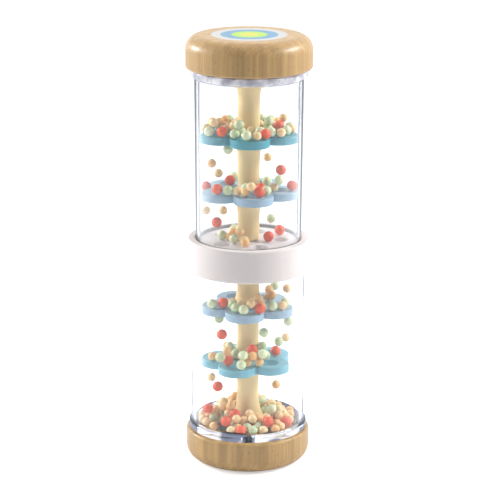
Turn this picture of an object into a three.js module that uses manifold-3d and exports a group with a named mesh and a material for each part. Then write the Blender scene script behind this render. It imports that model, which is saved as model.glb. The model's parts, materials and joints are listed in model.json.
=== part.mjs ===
// Rainstick: two clear tubes joined end to end by a white collar and closed by
// two turned beech caps. A moulded column of trumpet-shaped spools runs up the
// middle and carries four flower-shaped shelves. Small beads lie in drifts on the
// shelves and on the floors, and others are on their way down between them.
// Units are millimetres, +Z is up, and the origin is the centre of the bottom face.
import * as THREE from 'three';
import { mergeVertices } from 'three/addons/utils/BufferGeometryUtils.js';
import Module from 'manifold-3d';

const wasm = await Module();
wasm.setup();

// ---------------------------------------------------------------- driving sizes

const HEIGHT = 205;
const MIDDLE = HEIGHT / 2;
const GAP = 0.3;

const CAP_RADIUS = 29.4;
const CAP_HEIGHT = 15.4;
const CAP_CROWN = 6.5;
const CAP_EASE = 1.2;
const PILOT_RADIUS = 1.9;
const PILOT_DEPTH = 11;

const TUBE_END = 1.7;
const TUBE_FLANGE = 3.5;
const TUBE_CORNER = 2.6;
const UPPER_TUBE = { flange: 27.3, foot: 25.4, mouth: 24.9, wall: 1.5 };
const LOWER_TUBE = { flange: 28.1, foot: 27.0, mouth: 26.5, wall: 1.8 };
const SCREW_CLEARANCE_RADIUS = 2.1;

const COLLAR_RADIUS = 28.7;
const COLLAR_BOTTOM = 93.6;
const COLLAR_TOP = 109;
const COLLAR_EASE = 0.9;
const COLLAR_FLOOR = 107.7;
const COLLAR_GROOVE = 107;
const COLLAR_CEILING = 105.4;
const PASSAGE_COUNT = 5;
const PASSAGE_RADIUS = 4.2;
const PASSAGE_REACH = 15;
const PASSAGE_TURN = 20;

const SHELF_THICKNESS = 3.8;
const INNER_SHELF = 28;
const OUTER_SHELF = 55;
const PETAL_COUNT = 5;
const PETAL_HOLE_RADIUS = 4.2;
const UPPER_FLOWER = { petal: 9.2, reach: 13.9 };
const LOWER_FLOWER = { petal: 9.1, reach: 13.1 };
const HUB_HOLE_RADIUS = 3.2;

const NECK_RADIUS = 5.2;
const END_FLARE = { rim: 8.8, length: 13 };
const INNER_FLARE = { rim: 7, length: 10 };
const FLARE_POWER = 2.2;
const SPIGOT_RADIUS = 2.9;
const SPIGOT_REACH = 4.5;

const SCREW = { head: 3.2, headHeight: 2.2, shank: 1.6, length: 12.5 };

const BEAD_RADIUS = { coral: 2.45, green: 2.3, cream: 2.1 };

const ROUND_STEPS = 40;
const SPOOL_STEPS = 16;
const ARC_STEPS = 4;
const CURVE_STEPS = 7;

// ---------------------------------------------------------------- finishes

const FINISHES = {
  beech: { color: 0xc9a577, roughness: 0.45 },
  clear: { color: 0xeef3f8, roughness: 0.05, transparent: true, opacity: 0.25 },
  white: { color: 0xefe8e4, roughness: 0.4 },
  column: { color: 0xd3c094, roughness: 0.5 },
  teal: { color: 0x5fa3b3, roughness: 0.45 },
  periwinkle: { color: 0xb4c8d4, roughness: 0.45 },
  turquoise: { color: 0x8cc3cf, roughness: 0.45 },
  steel: { color: 0x9a9c9f, roughness: 0.35, metalness: 1 },
  coral: { color: 0xd65c42, roughness: 0.5 },
  green: { color: 0xb4c49a, roughness: 0.5 },
  cream: { color: 0xdcb587, roughness: 0.5 },
};

const object = new THREE.Group();

/** Puts one named piece with its own material into a group. */
function addPiece(parent, name, geometry, finish) {
  const mesh = new THREE.Mesh(geometry, new THREE.MeshStandardMaterial(FINISHES[finish]));
  mesh.name = name;
  parent.add(mesh);
  return mesh;
}

// ---------------------------------------------------------------- shape helpers

/** A point of a turned outline: its distance from the axis and its height. */
function at(radius, height) {
  return new THREE.Vector2(radius, height);
}

/** Points along a circular arc of an outline, from one angle to another in degrees. */
function arc(centreRadius, centreHeight, radius, from, to) {
  const points = [];
  for (let i = 0; i <= ARC_STEPS; i += 1) {
    const angle = THREE.MathUtils.degToRad(from + ((to - from) * i) / ARC_STEPS);
    points.push(at(centreRadius + radius * Math.cos(angle), centreHeight + radius * Math.sin(angle)));
  }
  return points;
}

/** Turns an outline round the Z axis. The outline climbs on its outer side. */
function turned(outline, steps = ROUND_STEPS) {
  return new THREE.LatheGeometry(outline, steps).rotateX(Math.PI / 2);
}

/** The manifold solid of a closed geometry. */
function solidOf(geometry) {
  const bare = geometry.clone();
  bare.deleteAttribute('normal');
  bare.deleteAttribute('uv');
  const merged = mergeVertices(bare, 1e-4);
  const vertProperties = new Float32Array(merged.attributes.position.array);
  const triVerts = new Uint32Array(merged.index.array);
  return new wasm.Manifold(new wasm.Mesh({ numProp: 3, vertProperties, triVerts }));
}

/** The geometry of a manifold solid. */
function geometryOf(solid) {
  const mesh = solid.getMesh();
  const geometry = new THREE.BufferGeometry();
  geometry.setAttribute('position', new THREE.BufferAttribute(mesh.vertProperties, 3));
  geometry.setIndex(new THREE.BufferAttribute(mesh.triVerts, 1));
  return geometry;
}

/** A place at a turn from the front (degrees, towards +X) and a reach from the axis. */
function placeAt(turn, reach, height) {
  const angle = THREE.MathUtils.degToRad(turn);
  return new THREE.Vector3(reach * Math.sin(angle), -reach * Math.cos(angle), height);
}

// ---------------------------------------------------------------- wooden caps

/** A turned cap lying on its crowned face, with a pilot hole in its flat face. */
function capGeometry() {
  return turned([
    at(0, 0),
    ...arc(CAP_RADIUS - CAP_CROWN, CAP_CROWN, CAP_CROWN, -90, 0),
    ...arc(CAP_RADIUS - CAP_EASE, CAP_HEIGHT - CAP_EASE, CAP_EASE, 0, 90),
    at(PILOT_RADIUS, CAP_HEIGHT),
    at(PILOT_RADIUS, CAP_HEIGHT - PILOT_DEPTH),
    at(0, CAP_HEIGHT - PILOT_DEPTH),
  ]);
}

// ---------------------------------------------------------------- clear tubes

/** A clear cup standing on its closed, flanged end, its mouth at the given height. */
function tubeGeometry(tube, mouthHeight) {
  const cornerReach = tube.foot - tube.wall - TUBE_CORNER;
  return turned([
    at(SCREW_CLEARANCE_RADIUS, 0),
    at(tube.flange - 0.5, 0),
    at(tube.flange, 0.6),
    at(tube.flange, TUBE_FLANGE - 0.9),
    at(tube.flange - 0.4, TUBE_FLANGE - 0.2),
    at(tube.foot, TUBE_FLANGE + 0.6),
    at(tube.mouth, mouthHeight),
    at(tube.mouth - tube.wall, mouthHeight),
    ...arc(cornerReach, TUBE_END + TUBE_CORNER, TUBE_CORNER, 0, -90),
    at(SCREW_CLEARANCE_RADIUS, TUBE_END),
    at(SCREW_CLEARANCE_RADIUS, 0),
  ]);
}

const tubeEndHeight = CAP_HEIGHT + GAP;
const upperMouth = HEIGHT - tubeEndHeight - COLLAR_GROOVE - GAP;
const lowerMouth = COLLAR_CEILING - GAP - tubeEndHeight;

// ---------------------------------------------------------------- collar

/** The white collar: a ring, a floor across it, and a spigot above and below. */
function collarGeometry() {
  const ease = COLLAR_EASE;
  const edge = COLLAR_RADIUS - ease;
  const skirt = LOWER_TUBE.mouth + GAP;
  const grooveInner = UPPER_TUBE.mouth - UPPER_TUBE.wall - GAP;
  const grooveOuter = UPPER_TUBE.mouth + GAP;
  const body = solidOf(turned([
    at(0, COLLAR_CEILING - SPIGOT_REACH),
    at(SPIGOT_RADIUS, COLLAR_CEILING - SPIGOT_REACH),
    at(SPIGOT_RADIUS, COLLAR_CEILING),
    at(skirt, COLLAR_CEILING),
    at(skirt, COLLAR_BOTTOM),
    ...arc(edge, COLLAR_BOTTOM + ease, ease, -90, 0),
    ...arc(edge, COLLAR_TOP - ease, ease, 0, 90),
    at(grooveOuter, COLLAR_TOP),
    at(grooveOuter, COLLAR_GROOVE),
    at(grooveInner, COLLAR_GROOVE),
    at(grooveInner, COLLAR_FLOOR),
    at(SPIGOT_RADIUS, COLLAR_FLOOR),
    at(SPIGOT_RADIUS, COLLAR_FLOOR + SPIGOT_REACH),
    at(0, COLLAR_FLOOR + SPIGOT_REACH),
  ]));
  const passage = new THREE.CylinderGeometry(PASSAGE_RADIUS, PASSAGE_RADIUS, 6, 2 * CURVE_STEPS).rotateX(Math.PI / 2);
  const floorMiddle = (COLLAR_FLOOR + COLLAR_CEILING) / 2;
  let cut = body;
  for (let i = 0; i < PASSAGE_COUNT; i += 1) {
    const place = placeAt(PASSAGE_TURN + (360 / PASSAGE_COUNT) * i, PASSAGE_REACH, floorMiddle);
    cut = cut.subtract(solidOf(passage.clone().translate(place.x, place.y, place.z)));
  }
  return geometryOf(cut);
}

// ---------------------------------------------------------------- flower shelves

/** A five-petalled plate: round petals that run into each other, a hole in each. */
function shelfGeometry(flower) {
  const step = (2 * Math.PI) / PETAL_COUNT;
  const halfStep = step / 2;
  const halfSpacing = flower.reach * Math.sin(halfStep);
  const notchReach = flower.reach * Math.cos(halfStep) + Math.sqrt(flower.petal ** 2 - halfSpacing ** 2);
  const sweep = Math.atan2(notchReach * Math.sin(halfStep), notchReach * Math.cos(halfStep) - flower.reach);
  const outline = new THREE.Shape();
  for (let i = 0; i < PETAL_COUNT; i += 1) {
    const aim = i * step - Math.PI / 2;
    const x = flower.reach * Math.cos(aim);
    const y = flower.reach * Math.sin(aim);
    outline.absarc(x, y, flower.petal, aim - sweep, aim + sweep, false);
    const hole = new THREE.Path();
    hole.absarc(x, y, PETAL_HOLE_RADIUS, 0, 2 * Math.PI, true);
    outline.holes.push(hole);
  }
  const hub = new THREE.Path();
  hub.absarc(0, 0, HUB_HOLE_RADIUS, 0, 2 * Math.PI, true);
  outline.holes.push(hub);
  const settings = { depth: SHELF_THICKNESS, bevelEnabled: false, curveSegments: CURVE_STEPS };
  return new THREE.ExtrudeGeometry(outline, settings).translate(0, 0, -SHELF_THICKNESS / 2);
}

// ---------------------------------------------------------------- column spools

/** The outline of a spool's side, from its straight neck out to its wide rim. */
function flaredSide(length, flare) {
  const points = [at(NECK_RADIUS, 0)];
  const count = 6;
  for (let i = 0; i <= count; i += 1) {
    const share = i / count;
    const radius = NECK_RADIUS + (flare.rim - NECK_RADIUS) * share ** FLARE_POWER;
    points.push(at(radius, length - flare.length * (1 - share)));
  }
  return points;
}

/** A spool standing on its neck: a socket below, and a spigot or a recess above. */
function spoolGeometry(length, endsAtCap) {
  const socketRadius = SPIGOT_RADIUS + GAP;
  const socketDepth = SPIGOT_REACH + GAP;
  const recessRadius = SCREW.head + GAP;
  const recessDepth = SCREW.headHeight + 2 * GAP;
  const spigotTop = length + GAP + SHELF_THICKNESS + SPIGOT_REACH;
  const spigot = [at(SPIGOT_RADIUS, length), at(SPIGOT_RADIUS, spigotTop), at(0, spigotTop)];
  const recess = [
    at(recessRadius, length),
    at(recessRadius, length - recessDepth),
    at(0, length - recessDepth),
  ];
  return turned([
    at(0, socketDepth),
    at(socketRadius, socketDepth),
    at(socketRadius, 0),
    ...flaredSide(length, endsAtCap ? END_FLARE : INNER_FLARE),
    ...(endsAtCap ? recess : spigot),
  ], SPOOL_STEPS);
}

/** Pan-head screw: its head rests on the tube's closed end, its shank points down. */
function screwGeometry() {
  return turned([
    at(0, -SCREW.length),
    at(SCREW.shank * 0.4, -SCREW.length),
    at(SCREW.shank, -SCREW.length + 2.5),
    at(SCREW.shank, 0),
    at(SCREW.head, 0),
    at(SCREW.head, SCREW.headHeight * 0.5),
    at(SCREW.head * 0.6, SCREW.headHeight),
    at(0, SCREW.headHeight),
  ], SPOOL_STEPS);
}

// ---------------------------------------------------------------- the two halves

/**
 * One half of the rainstick as it stands when it is the upper half, its cap on top.
 * `names` are listed from the cap inwards, and `stackStart` is the height of the
 * collar face that the innermost spool stands on.
 */
function buildHalf(half, names) {
  const cap = addPiece(half, names.cap, capGeometry(), 'beech');
  cap.rotation.x = Math.PI;
  cap.position.z = HEIGHT;
  const tube = addPiece(half, names.tube, tubeGeometry(names.tubeSizes, names.mouth), 'clear');
  tube.rotation.x = Math.PI;
  tube.position.z = HEIGHT - tubeEndHeight;
  const screwSeat = HEIGHT - tubeEndHeight - TUBE_END - GAP / 2;
  const screw = addPiece(half, names.screw, screwGeometry(), 'steel');
  screw.rotation.x = Math.PI;
  screw.position.z = screwSeat;

  const shelfHeights = [MIDDLE + INNER_SHELF, MIDDLE + OUTER_SHELF];
  const seats = [...shelfHeights.map((height) => height - SHELF_THICKNESS / 2), screwSeat + GAP / 2];
  let start = names.stackStart + GAP;
  seats.forEach((seat, i) => {
    const endsAtCap = i === seats.length - 1;
    const length = seat - GAP - start;
    const spool = addPiece(half, names.spools[i], spoolGeometry(length, endsAtCap), 'column');
    spool.position.z = start;
    start = seat + SHELF_THICKNESS + GAP;
  });
  shelfHeights.forEach((height, i) => {
    const shelf = addPiece(half, names.shelves[i].name, shelfGeometry(names.flower), names.shelves[i].finish);
    shelf.position.z = height;
    shelf.rotation.z = THREE.MathUtils.degToRad(names.shelves[i].turn);
  });
}

const upperHalf = new THREE.Group();
object.add(upperHalf);
buildHalf(upperHalf, {
  cap: 'top_cap',
  tube: 'upper_tube',
  tubeSizes: UPPER_TUBE,
  mouth: upperMouth,
  screw: 'top_cap_screw',
  flower: UPPER_FLOWER,
  stackStart: COLLAR_FLOOR,
  spools: ['column_spool_3', 'column_spool_2', 'column_spool_1'],
  shelves: [
    { name: 'flower_shelf_2', finish: 'periwinkle', turn: 9 },
    { name: 'flower_shelf_1', finish: 'teal', turn: 2 },
  ],
});

// The lower half is the same design turned over about the X axis.
const lowerHalf = new THREE.Group();
lowerHalf.rotation.x = Math.PI;
lowerHalf.position.z = HEIGHT;
object.add(lowerHalf);
buildHalf(lowerHalf, {
  cap: 'base_cap',
  tube: 'lower_tube',
  tubeSizes: LOWER_TUBE,
  mouth: lowerMouth,
  screw: 'base_cap_screw',
  flower: LOWER_FLOWER,
  stackStart: HEIGHT - COLLAR_CEILING,
  spools: ['column_spool_4', 'column_spool_5', 'column_spool_6'],
  shelves: [
    { name: 'flower_shelf_3', finish: 'periwinkle', turn: 180 + 7 },
    { name: 'flower_shelf_4', finish: 'turquoise', turn: 180 + 21 },
  ],
});

addPiece(object, 'collar', collarGeometry(), 'white');

// ---------------------------------------------------------------- beads

/** Adds one bead, its centre at a turn, a reach and a height. */
function addBead(name, kind, turn, reach, height) {
  const bead = addPiece(object, name, new THREE.IcosahedronGeometry(BEAD_RADIUS[kind], 1), kind);
  bead.position.copy(placeAt(turn, reach, height));
}

const shelfTop = (height) => height + SHELF_THICKNESS / 2;
const FLOORS = {
  shelf_1: shelfTop(MIDDLE + OUTER_SHELF),
  shelf_2: shelfTop(MIDDLE + INNER_SHELF),
  collar: COLLAR_FLOOR,
  shelf_3: shelfTop(MIDDLE - INNER_SHELF),
  shelf_4: shelfTop(MIDDLE - OUTER_SHELF),
  base: tubeEndHeight + TUBE_END,
};

// Beads that lie in a drift: what they lie on, and for each bead its kind, its turn,
// its reach and, where it lies on other beads, its lift above the floor.
const DRIFTS = {
  shelf_1: [
    ['coral', -46, 17],
    ['coral', 24, 18],
    ['coral', 98, 14.2],
    ['green', -3, 19.9],
  ],
  shelf_2: [
    ['coral', 15, 19],
    ['coral', -49, 18.9],
    ['coral', 77, 20.5],
    ['coral', -121, 10.4],
  ],
  collar: [
    ['coral', 118, 17],
    ['coral', 66, 10.3],
    ['green', -39, 10.6],
  ],
  shelf_3: [
    ['coral', -55, 14.2],
    ['coral', 17, 18.4],
    ['green', -6, 19.3],
  ],
  shelf_4: [
    ['coral', -34, 16.3],
    ['coral', 98, 13.4],
    ['green', -9, 19.6],
  ],
  base: [
    ['coral', -8, 21.8],
    ['coral', -32, 19, 2.5],
    ['coral', 31, 18.6, 2.5],
    ['coral', -72, 19.7, 5.5],
  ],
};
const REST_GAP = 0.1;
for (const [place, beads] of Object.entries(DRIFTS)) {
  beads.forEach(([kind, turn, reach, lift = 0], i) => {
    const height = FLOORS[place] + REST_GAP + BEAD_RADIUS[kind] + lift;
    addBead(`${place}_bead_${i + 1}`, kind, turn, reach, height);
  });
}

// Beads on their way down, from the highest: kind, turn, reach and height.
const FALLING = [
  ['green', -56, 11.6, 152.5],
  ['cream', -71, 18, 145.7],
  ['cream', 138, 13.4, 145.1],
  ['coral', 82, 15.1, 141.8],
  ['cream', -113, 15.6, 138.2],
  ['coral', -99, 20.5, 132.5],
  ['cream', -79, 20.2, 122.7],
  ['cream', -116, 13.5, 120.2],
  ['coral', -68, 15.9, 117.5],
  ['green', 142, 17.7, 114.3],
  ['cream', 96, 18.6, 83.1],
  ['green', 135, 18.3, 81.3],
  ['cream', 129, 12.8, 80.8],
  ['green', -82, 13.9, 69.3],
  ['green', 72, 19.9, 69.2],
  ['green', 38, 12, 64.7],
  ['coral', -57, 14.6, 63.2],
  ['cream', 108, 19.3, 57.4],
  ['coral', 11, 10.7, 56.6],
  ['cream', -103, 18.1, 37.8],
  ['coral', -55, 17.2, 37.9],
  ['cream', 98, 13.8, 34.9],
];
FALLING.forEach(([kind, turn, reach, height], i) => {
  addBead(`falling_bead_${String(i + 1).padStart(2, '0')}`, kind, turn, reach, height);
});

export default object;
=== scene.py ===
"""Rainstick: the finished look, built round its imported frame.

A baby's rainstick stands on its base. Two clear plastic tubes meet in a white collar and are closed
by two turned beech caps. A cream column of trumpet-shaped spools runs up the middle and carries four
flower-shaped shelves, and small coral, green and cream beads lie in drifts or are on their way down.

Every visible piece is a surface worked out with numpy in millimetres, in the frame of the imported
part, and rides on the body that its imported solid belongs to.
"""

from __future__ import annotations

import json
import logging
import math
from dataclasses import dataclass, field
from enum import Enum
from functools import cached_property

import bmesh
import bpy
import numpy as np
from mathutils import Euler, Matrix, Vector


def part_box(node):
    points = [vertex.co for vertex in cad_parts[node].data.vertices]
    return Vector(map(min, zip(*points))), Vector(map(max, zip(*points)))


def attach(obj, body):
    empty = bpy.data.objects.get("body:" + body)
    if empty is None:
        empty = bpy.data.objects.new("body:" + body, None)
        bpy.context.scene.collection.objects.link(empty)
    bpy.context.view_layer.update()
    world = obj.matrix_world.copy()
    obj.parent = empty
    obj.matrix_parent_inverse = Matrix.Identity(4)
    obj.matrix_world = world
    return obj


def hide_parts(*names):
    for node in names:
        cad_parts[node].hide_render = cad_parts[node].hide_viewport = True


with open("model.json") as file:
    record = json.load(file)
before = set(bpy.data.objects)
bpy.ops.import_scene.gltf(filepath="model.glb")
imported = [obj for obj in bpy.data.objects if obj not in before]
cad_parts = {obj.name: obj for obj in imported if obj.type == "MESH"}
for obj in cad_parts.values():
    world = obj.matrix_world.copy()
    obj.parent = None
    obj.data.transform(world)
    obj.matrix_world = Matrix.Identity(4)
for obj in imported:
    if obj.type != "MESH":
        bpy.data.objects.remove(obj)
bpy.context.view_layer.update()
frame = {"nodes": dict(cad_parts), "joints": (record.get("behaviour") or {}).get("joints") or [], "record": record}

LOG = logging.getLogger("rainstick")
MM = 0.001
WELD_MM = 0.002
LONG_STRETCH_MM = 1.5
SUPPORT_MM = 0.2
FULL_TURN = 2 * math.pi

Stops = tuple[tuple[float, str], ...]
Feed = bpy.types.Node | bpy.types.NodeSocket


# ---------------------------------------------------------------- colours and nodes


def linear(hex_colour: str) -> tuple[float, float, float, float]:
    """Turns an sRGB hex value into a linear colour with full alpha.

    Args:
        hex_colour: Six hex digits, such as "e8c79a".

    Returns:
        Red, green, blue and alpha, each from 0 to 1.
    """
    srgb = np.array([int(hex_colour[i : i + 2], 16) for i in (0, 2, 4)]) / 255
    values = np.where(srgb <= 0.04045, srgb / 12.92, ((srgb + 0.055) / 1.055) ** 2.4)
    return (*(float(v) for v in values), 1.0)


class Nodes:
    """The node tree of one material, or of the sky, as it is put together."""

    def __init__(self, owner: bpy.types.Material | bpy.types.World) -> None:
        """Starts with the owner's node tree empty.

        Args:
            owner: The material or the sky.
        """
        owner.use_nodes = True
        self.owner = owner
        self.tree = owner.node_tree
        self.tree.nodes.clear()

    def add(
        self, kind: str, inputs: dict | None = None, stops: Stops = (), **settings: object
    ) -> bpy.types.Node:
        """Adds one node with its settings, its input values and its links.

        Args:
            kind: The node's type without its prefix, such as "TexNoise".
            inputs: Input names or numbers, each with a value, a hex colour, or what feeds it. A
                node feeds its first live output.
            stops: Positions and hex colours of a colour ramp.
            **settings: The node's own properties, such as operation.

        Returns:
            The new node.
        """
        node = self.tree.nodes.new(f"ShaderNode{kind}")
        for name, value in settings.items():
            setattr(node, name, value)
        for key, value in (inputs or {}).items():
            if isinstance(value, bpy.types.Node):
                value = next(output for output in value.outputs if output.enabled)
            if isinstance(value, bpy.types.NodeSocket):
                self.tree.links.new(value, node.inputs[key])
            else:
                node.inputs[key].default_value = linear(value) if isinstance(value, str) else value
        for i, (position, colour) in enumerate(stops):
            elements = node.color_ramp.elements
            element = elements[i] if i < len(elements) else elements.new(position)
            element.position = position
            element.color = linear(colour)
        return node

    @cached_property
    def place(self) -> bpy.types.Node:
        """The point being shaded, in millimetres of the part's own frame."""
        point = self.add("TexCoord").outputs["Object"]
        return self.add("VectorMath", {0: point, "Scale": 1 / MM}, operation="SCALE")

    @cached_property
    def height(self) -> bpy.types.NodeSocket:
        """The height of the point being shaded, in millimetres."""
        return self.add("SeparateXYZ", {"Vector": self.place}).outputs["Z"]

    def close(self, shader: Feed, output: str = "OutputMaterial") -> bpy.types.Material:
        """Feeds the last shader to the output node, and gives back the tree's owner."""
        self.add(output, {"Surface": shader})
        return self.owner


# ---------------------------------------------------------------- finishes


@dataclass(frozen=True)
class Finish:
    """What a piece is made of and how its surface was made."""

    name: str

    def material(self) -> bpy.types.Material:
        """Makes the finish's material once, and gives the same one after that."""
        return bpy.data.materials.get(self.name) or self.build(Nodes(bpy.data.materials.new(self.name)))

    def build(self, nodes: Nodes) -> bpy.types.Material:
        """Builds the node material. Each kind of finish has its own."""
        raise NotImplementedError


@dataclass(frozen=True)
class Ring:
    """One printed ring: where it ends and its colour."""

    radius: float
    colour: str


@dataclass(frozen=True)
class Beech(Finish):
    """Steamed beech, turned, sanded and dipped in satin varnish.

    The grain runs along the stick, so the sides show faint upright growth lines and the short
    brown flecks that beech is known by, and the top shows the same rings as arcs. The varnish
    gives a soft highlight on the rounded shoulder.
    """

    light: str = "ba9863"
    late: str = "b38f5c"
    dark: str = "8e6b3e"
    fleck: str = "8a5f37"
    pith: tuple[float, float, float] = (-46.0, 58.0, 0.0)
    ring_spacing: float = 1.5
    fleck_width: float = 0.8
    fleck_length: float = 4.2
    fibre_width: float = 0.45
    fibre_length: float = 24.0
    band_width: float = 3.4
    rings: tuple[Ring, ...] = ()
    printed_face: float = 0.0
    ink_edge: float = 0.12
    ink_blend: float = 0.006

    def build(self, nodes: Nodes) -> bpy.types.Material:
        """Builds the wood, with printed rings on one face where the finish has them."""
        fibres = self.drawn_out(nodes, self.fibre_width, self.fibre_length)
        years = self.growth_lines(nodes)
        base = nodes.add("ValToRGB", {"Fac": years}, stops=((0.0, self.light), (1.0, self.late)))
        share = nodes.add(
            "MapRange", {"Value": fibres, "From Min": 0.42, "From Max": 0.75, "To Max": 0.42}
        )
        streaked = nodes.add("Mix", {"Factor": share, 6: base, 7: self.dark}, data_type="RGBA")
        bands = self.drawn_out(nodes, self.band_width, 30 * self.band_width)
        shade = nodes.add(
            "MapRange",
            {"Value": bands, "From Min": 0.3, "From Max": 0.7, "To Min": 1.14, "To Max": 0.8},
        )
        banded = nodes.add("VectorMath", {0: streaked, "Scale": shade}, operation="SCALE")
        flecks = self.flecks(nodes)
        colour = nodes.add("Mix", {"Factor": flecks, 6: banded, 7: self.fleck}, data_type="RGBA")
        height = nodes.add("Math", {0: fibres, 1: flecks}, operation="SUBTRACT")
        if self.rings:
            colour, ink = self.print_on(nodes, colour)
            bare = nodes.add("Math", {0: 1.0, 1: ink}, operation="SUBTRACT")
            height = nodes.add("Math", {0: height, 1: bare}, operation="MULTIPLY")
        relief = nodes.add("Bump", {"Height": height, "Strength": 0.12, "Distance": 0.05 * MM})
        varnish = {
            "Base Color": colour,
            "Roughness": nodes.add("MapRange", {"Value": fibres, "To Min": 0.36, "To Max": 0.5}),
            "IOR": 1.5,
            "Coat Weight": 0.3,
            "Coat Roughness": 0.22,
            "Normal": relief,
        }
        return nodes.close(nodes.add("BsdfPrincipled", varnish))

    @staticmethod
    def drawn_out(nodes: Nodes, width: float, length: float) -> bpy.types.Node:
        """Noise drawn out along the grain.

        Args:
            nodes: The material's nodes.
            width: Size of a streak across the grain, in millimetres.
            length: Its size along the grain.

        Returns:
            The noise, from 0 to 1.
        """
        cell = (1 / width, 1 / width, 1 / length)
        stretched = nodes.add("VectorMath", {0: nodes.place, 1: cell}, operation="MULTIPLY")
        return nodes.add("TexNoise", {"Vector": stretched, "Scale": 1.0, "Detail": 2.0})

    def growth_lines(self, nodes: Nodes) -> bpy.types.Node:
        """Year rings: a sine wave of the distance from the pith, warped a little, one to a ring.

        Args:
            nodes: The material's nodes.

        Returns:
            Each ring's value, from 0 in its early wood to 1 in its late wood.
        """
        flat = nodes.add("VectorMath", {0: nodes.place, 1: (1.0, 1.0, 0.02)}, operation="MULTIPLY")
        offset = nodes.add("VectorMath", {0: flat, 1: self.pith}, operation="SUBTRACT")
        distance = nodes.add("VectorMath", {0: offset}, operation="LENGTH")
        warp = {0: self.drawn_out(nodes, 16.0, 400.0), 1: 3.0 * self.ring_spacing, 2: distance}
        warped = nodes.add("Math", warp, operation="MULTIPLY_ADD")
        years = nodes.add("Math", {0: warped, 1: self.ring_spacing}, operation="DIVIDE")
        wave = nodes.add("Math", {0: years, 1: FULL_TURN}, operation="MULTIPLY")
        swing = nodes.add("Math", {0: wave}, operation="SINE")
        return nodes.add("MapRange", {"Value": swing, "From Min": -1.0})

    def flecks(self, nodes: Nodes) -> bpy.types.Node:
        """Ray flecks: thin upright dashes, one in each long cell, and only in some cells.

        Args:
            nodes: The material's nodes.

        Returns:
            How much of a fleck is here, from 0 to 1.
        """
        size = (1 / self.fleck_width, 1 / self.fleck_width, 1 / self.fleck_length)
        cells = nodes.add("VectorMath", {0: nodes.place, 1: size}, operation="MULTIPLY")
        cell = nodes.add("TexVoronoi", {"Vector": cells, "Scale": 1.0}, feature="F1")
        dash = nodes.add(
            "MapRange", {"Value": cell, "From Min": 0.26, "From Max": 0.12, "To Max": 0.75}
        )
        chosen = nodes.add("SeparateColor", {"Color": cell.outputs["Color"]})
        some = nodes.add("MapRange", {"Value": chosen, "From Min": 0.45, "From Max": 0.9})
        return nodes.add("Math", {0: dash, 1: some}, operation="MULTIPLY")

    def print_on(self, nodes: Nodes, wood: Feed) -> tuple[bpy.types.Node, bpy.types.Node]:
        """Pad-printed rings on the flat top: enamel inks in circles about the axis.

        Args:
            nodes: The material's nodes.
            wood: The colour of the bare wood.

        Returns:
            The printed colour, and how much ink covers the wood.
        """
        outer = self.rings[-1].radius
        span = 1.25 * outer
        flat = nodes.add("VectorMath", {0: nodes.place, 1: (1.0, 1.0, 0.0)}, operation="MULTIPLY")
        reach = nodes.add("VectorMath", {0: flat}, operation="LENGTH")
        ragged = nodes.add("TexNoise", {"Vector": nodes.place, "Scale": 0.9, "Detail": 3.0})
        edge = nodes.add("Math", {0: ragged, 1: 0.25, 2: reach}, operation="MULTIPLY_ADD")
        share = nodes.add("Math", {0: edge, 1: span}, operation="DIVIDE")
        stops = [(0.0, self.rings[0].colour)]
        for inner, ring in zip(self.rings, self.rings[1:]):
            turn = inner.radius / span
            stops += [(turn - self.ink_blend, inner.colour), (turn + self.ink_blend, ring.colour)]
        ink = nodes.add("ValToRGB", {"Fac": share}, stops=tuple(stops))
        rim = {"Value": edge, "From Min": outer + self.ink_edge, "From Max": outer - self.ink_edge}
        inside = nodes.add("MapRange", rim)
        on_top = nodes.add(
            "Math", {0: nodes.height, 1: self.printed_face - 0.05}, operation="GREATER_THAN"
        )
        cover = nodes.add("Math", {0: inside, 1: on_top}, operation="MULTIPLY")
        return nodes.add("Mix", {"Factor": cover, 6: wood, 7: ink}, data_type="RGBA"), cover


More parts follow.
